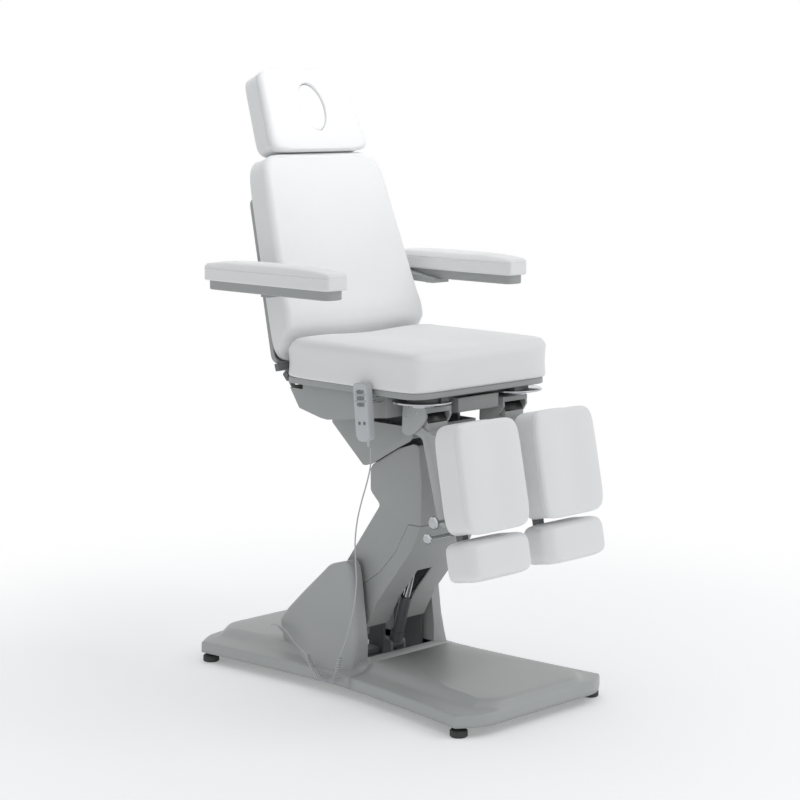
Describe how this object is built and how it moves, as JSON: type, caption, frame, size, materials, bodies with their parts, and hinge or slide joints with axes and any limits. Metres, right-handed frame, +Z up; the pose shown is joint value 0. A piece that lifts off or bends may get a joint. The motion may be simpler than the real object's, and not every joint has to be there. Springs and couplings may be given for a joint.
{
  "type": "podiatry chair",
  "caption": "Powered podiatry chair with a parallelogram lift column, tilting seat, reclining back, headrest, folding armrests and two swivelling leg rests.",
  "frame": {"origin": "on the floor under the middle of the base, in the chair's plane of symmetry", "axes": "+Z up, the occupant faces -Y, +X is the right-hand side seen from the front"},
  "size_m": [0.824, 1.194, 1.8109],
  "materials": {
    "cover": "moulded, fine satin texture",
    "leatherette": "smooth upholstery with a fine grain",
    "steel": "powder coated",
    "chrome": "polished",
    "black": "moulded",
    "rubber": "matt",
    "handset": "moulded",
    "keys": "soft keys",
    "cable": "smooth jacket",
    "casting": "painted casting"
  },
  "bodies": {
    "base": {"base_frame": "steel", "base_cover_front": "cover", "base_cover_rear": "cover", "mast_cover": "cover", "levelling_feet": "rubber", "control_box": "black", "handset_lead": "cable", "curly_cord": "cable", "cord_tail": "cable"},
    "lift_arm": {"arm_frame": "steel", "arm_rear_cover": "cover", "arm_front_cover": "cover"},
    "parallel_link": {"parallel_link": "steel"},
    "lift_motor": {"lift_motor": "black"},
    "lift_rod": {"lift_rod": "chrome"},
    "carrier": {"carrier_frame": "steel", "carrier_cover": "cover"},
    "tilt_motor": {"tilt_motor": "black"},
    "tilt_rod": {"tilt_rod": "chrome"},
    "seat": {"seat_frame": "steel", "pan_cover": "cover", "seat_board": "cover", "seat_cushion": "leatherette"},
    "recline_motor": {"recline_motor": "black"},
    "recline_rod": {"recline_rod": "chrome"},
    "back": {"back_frame": "steel", "back_shell": "cover", "back_cushion": "leatherette"},
    "head_post": {"head_post": "chrome"},
    "headrest": {"head_board": "cover", "head_cushion": "leatherette"},
    "face_plug": {"face_plug": "leatherette"},
    "handset": {"handset_shell": "handset"},
    "height_rocker": {"height_rocker": "keys"},
    "back_rocker": {"back_rocker": "keys"},
    "tilt_rocker": {"tilt_rocker": "keys"},
    "memory_key_one": {"memory_key_one": "keys"},
    "memory_key_two": {"memory_key_two": "keys"},
    "arm_link_left": {"arm_link_left": "casting"},
    "armrest_left": {"arm_tray_left": "cover", "arm_pad_left": "leatherette"},
    "swivel_left": {"swivel_disc_left": "chrome", "knee_hood_left": "casting"},
    "leg_left": {"leg_arm_left": "casting", "calf_pad_left": "leatherette"},
    "leg_slide_left": {"leg_extension_left": "steel"},
    "foot_left": {"foot_pad_left": "leatherette"},
    "length_knob_left": {"length_knob_left": "chrome"},
    "angle_knob_left": {"angle_knob_left": "chrome"},
    "arm_link_right": {"arm_link_right": "casting"},
    "armrest_right": {"arm_tray_right": "cover", "arm_pad_right": "leatherette"},
    "swivel_right": {"swivel_disc_right": "chrome", "knee_hood_right": "casting"},
    "leg_right": {"leg_arm_right": "casting", "calf_pad_right": "leatherette"},
    "leg_slide_right": {"leg_extension_right": "steel"},
    "foot_right": {"foot_pad_right": "leatherette"},
    "length_knob_right": {"length_knob_right": "chrome"},
    "angle_knob_right": {"angle_knob_right": "chrome"}
  },
  "joints": [
    {"name": "lift", "type": "hinge", "parent": "base", "child": "lift_arm", "pos_m": [0, 0.062, 0.25], "axis": [1, 0, 0], "range_deg": [0, 50], "deforming": ["handset_lead"]},
    {"name": "link_swing", "type": "hinge", "parent": "base", "child": "parallel_link", "pos_m": [0, 0.072, 0.273], "axis": [1, 0, 0], "range_deg": [0, 50]},
    {"name": "carrier_level", "type": "hinge", "parent": "lift_arm", "child": "carrier", "pos_m": [0, -0.15793, 0.6403], "axis": [1, 0, 0], "range_deg": [-50, 0]},
    {"name": "lift_motor_swing", "type": "hinge", "parent": "base", "child": "lift_motor", "pos_m": [0, 0, 0.108], "axis": [1, 0, 0], "range_deg": [0, 34]},
    {"name": "lift_rod_slide", "type": "slide", "parent": "lift_motor", "child": "lift_rod", "axis": [0, -0.3094, 0.9509], "range_m": [-0.11, 0]},
    {"name": "seat_tilt", "type": "hinge", "parent": "carrier", "child": "seat", "pos_m": [0, 0.12008, 0.8353], "axis": [-1, 0, 0], "range_deg": [0, 15], "deforming": ["handset_lead"]},
    {"name": "tilt_motor_swing", "type": "hinge", "parent": "carrier", "child": "tilt_motor", "pos_m": [0, -0.09792, 0.7303], "axis": [1, 0, 0], "range_deg": [-1, 0]},
    {"name": "tilt_rod_slide", "type": "slide", "parent": "tilt_motor", "child": "tilt_rod", "axis": [0, 0.2659, 0.964], "range_m": [0, 0.048]},
    {"name": "back_recline", "type": "hinge", "parent": "seat", "child": "back", "pos_m": [0, 0.23808, 0.9153], "axis": [-1, 0, 0], "range_deg": [0, 70]},
    {"name": "recline_motor_swing", "type": "hinge", "parent": "seat", "child": "recline_motor", "pos_m": [0.11, -0.10193, 0.8673], "axis": [1, 0, 0], "range_deg": [-1, 0]},
    {"name": "recline_rod_slide", "type": "slide", "parent": "recline_motor", "child": "recline_rod", "axis": [0, 0.9996, 0.0273], "range_m": [-0.053, 0]},
    {"name": "armrest_level_left", "type": "hinge", "parent": "back", "child": "arm_link_left", "pos_m": [-0.3, 0.28858, 1.1843], "axis": [-1, 0, 0], "range_deg": [-70, 0]},
    {"name": "armrest_fold_left", "type": "hinge", "parent": "arm_link_left", "child": "armrest_left", "pos_m": [-0.34, 0.28858, 1.1843], "axis": [-1, 0, 0], "range_deg": [0, 95]},
    {"name": "armrest_level_right", "type": "hinge", "parent": "back", "child": "arm_link_right", "pos_m": [0.3, 0.28858, 1.1843], "axis": [-1, 0, 0], "range_deg": [-70, 0]},
    {"name": "armrest_fold_right", "type": "hinge", "parent": "arm_link_right", "child": "armrest_right", "pos_m": [0.34, 0.28858, 1.1843], "axis": [-1, 0, 0], "range_deg": [0, 95]},
    {"name": "head_raise", "type": "slide", "parent": "back", "child": "head_post", "axis": [0, 0.309, 0.9511], "range_m": [0, 0.08]},
    {"name": "head_tilt", "type": "hinge", "parent": "head_post", "child": "headrest", "pos_m": [0, 0.41432, 1.57609], "axis": [-1, 0, 0], "range_deg": [0, 40]},
    {"name": "face_plug_off", "type": "slide", "parent": "headrest", "child": "face_plug", "axis": [0, -0.9114, 0.4115], "range_m": [0, 0.12]},
    {"name": "leg_swivel_left", "type": "hinge", "parent": "seat", "child": "swivel_left", "pos_m": [-0.185, -0.29992, 0.8933], "axis": [0, 0, -1], "range_deg": [0, 60]},
    {"name": "leg_lift_left", "type": "hinge", "parent": "swivel_left", "child": "leg_left", "pos_m": [-0.157, -0.28292, 0.8183], "axis": [-1, 0, 0], "range_deg": [-11, 36]},
    {"name": "leg_extend_left", "type": "slide", "parent": "leg_left", "child": "leg_slide_left", "axis": [0, -0.1908, -0.9816], "range_m": [0, 0.12]},
    {"name": "foot_tilt_left", "type": "hinge", "parent": "leg_slide_left", "child": "foot_left", "pos_m": [-0.157, -0.47893, 0.47031], "axis": [1, 0, 0], "range_deg": [0, 35]},
    {"name": "length_knob_turn_left", "type": "hinge", "parent": "leg_left", "child": "length_knob_left", "pos_m": [-0.25, -0.41712, 0.57341], "axis": [1, 0, 0], "range_deg": [0, 180]},
    {"name": "angle_knob_turn_left", "type": "hinge", "parent": "leg_slide_left", "child": "angle_knob_left", "pos_m": [-0.28, -0.42456, 0.53513], "axis": [1, 0, 0], "range_deg": [0, 180]},
    {"name": "leg_swivel_right", "type": "hinge", "parent": "seat", "child": "swivel_right", "pos_m": [0.185, -0.29992, 0.8933], "axis": [0, 0, 1], "range_deg": [0, 60]},
    {"name": "leg_lift_right", "type": "hinge", "parent": "swivel_right", "child": "leg_right", "pos_m": [0.157, -0.28292, 0.8183], "axis": [-1, 0, 0], "range_deg": [-11, 36]},
    {"name": "leg_extend_right", "type": "slide", "parent": "leg_right", "child": "leg_slide_right", "axis": [0, -0.1908, -0.9816], "range_m": [0, 0.12]},
    {"name": "foot_tilt_right", "type": "hinge", "parent": "leg_slide_right", "child": "foot_right", "pos_m": [0.157, -0.47893, 0.47031], "axis": [1, 0, 0], "range_deg": [0, 35]},
    {"name": "length_knob_turn_right", "type": "hinge", "parent": "leg_right", "child": "length_knob_right", "pos_m": [0.25, -0.41712, 0.57341], "axis": [1, 0, 0], "range_deg": [0, 180]},
    {"name": "angle_knob_turn_right", "type": "hinge", "parent": "leg_slide_right", "child": "angle_knob_right", "pos_m": [0.28, -0.42456, 0.53513], "axis": [1, 0, 0], "range_deg": [0, 180]},
    {"name": "handset_off", "type": "slide", "parent": "seat", "child": "handset", "axis": [0, 0, 1], "range_m": [0, 0.05], "deforming": ["handset_lead"]},
    {"name": "height_rocker_press", "type": "hinge", "parent": "handset", "child": "height_rocker", "pos_m": [-0.309, -0.17987, 0.91708], "axis": [0, 0.0872, 0.9962], "range_deg": [-3, 3], "stiffness_Nm_per_rad": 0.6},
    {"name": "back_rocker_press", "type": "hinge", "parent": "handset", "child": "back_rocker", "pos_m": [-0.309, -0.18144, 0.89915], "axis": [0, 0.0872, 0.9962], "range_deg": [-3, 3], "stiffness_Nm_per_rad": 0.6},
    {"name": "tilt_rocker_press", "type": "hinge", "parent": "handset", "child": "tilt_rocker", "pos_m": [-0.309, -0.18301, 0.88122], "axis": [0, 0.0872, 0.9962], "range_deg": [-3, 3], "stiffness_Nm_per_rad": 0.6},
    {"name": "memory_key_one_press", "type": "slide", "parent": "handset", "child": "memory_key_one", "axis": [1, 0, 0], "range_m": [0, 0.001], "stiffness_N_per_m": 400},
    {"name": "memory_key_two_press", "type": "slide", "parent": "handset", "child": "memory_key_two", "axis": [1, 0, 0], "range_m": [0, 0.001], "stiffness_N_per_m": 400}
  ],
  "couplings": [
    {"joint": "link_swing", "follows": "lift", "ratio": 1},
    {"joint": "carrier_level", "follows": "lift", "ratio": -1},
    {"joint": "lift_motor_swing", "follows": "lift", "ratio": 0.6699},
    {"joint": "lift_rod_slide", "follows": "lift", "m_per_rad": -0.12576},
    {"joint": "tilt_motor_swing", "follows": "seat_tilt", "ratio": -0.0578},
    {"joint": "tilt_rod_slide", "follows": "seat_tilt", "m_per_rad": 0.18173},
    {"joint": "recline_motor_swing", "follows": "back_recline", "ratio": -0.0094},
    {"joint": "recline_rod_slide", "follows": "back_recline", "m_per_rad": -0.04324},
    {"joint": "armrest_level_left", "follows": "back_recline", "ratio": -1},
    {"joint": "armrest_level_right", "follows": "back_recline", "ratio": -1}
  ]
}
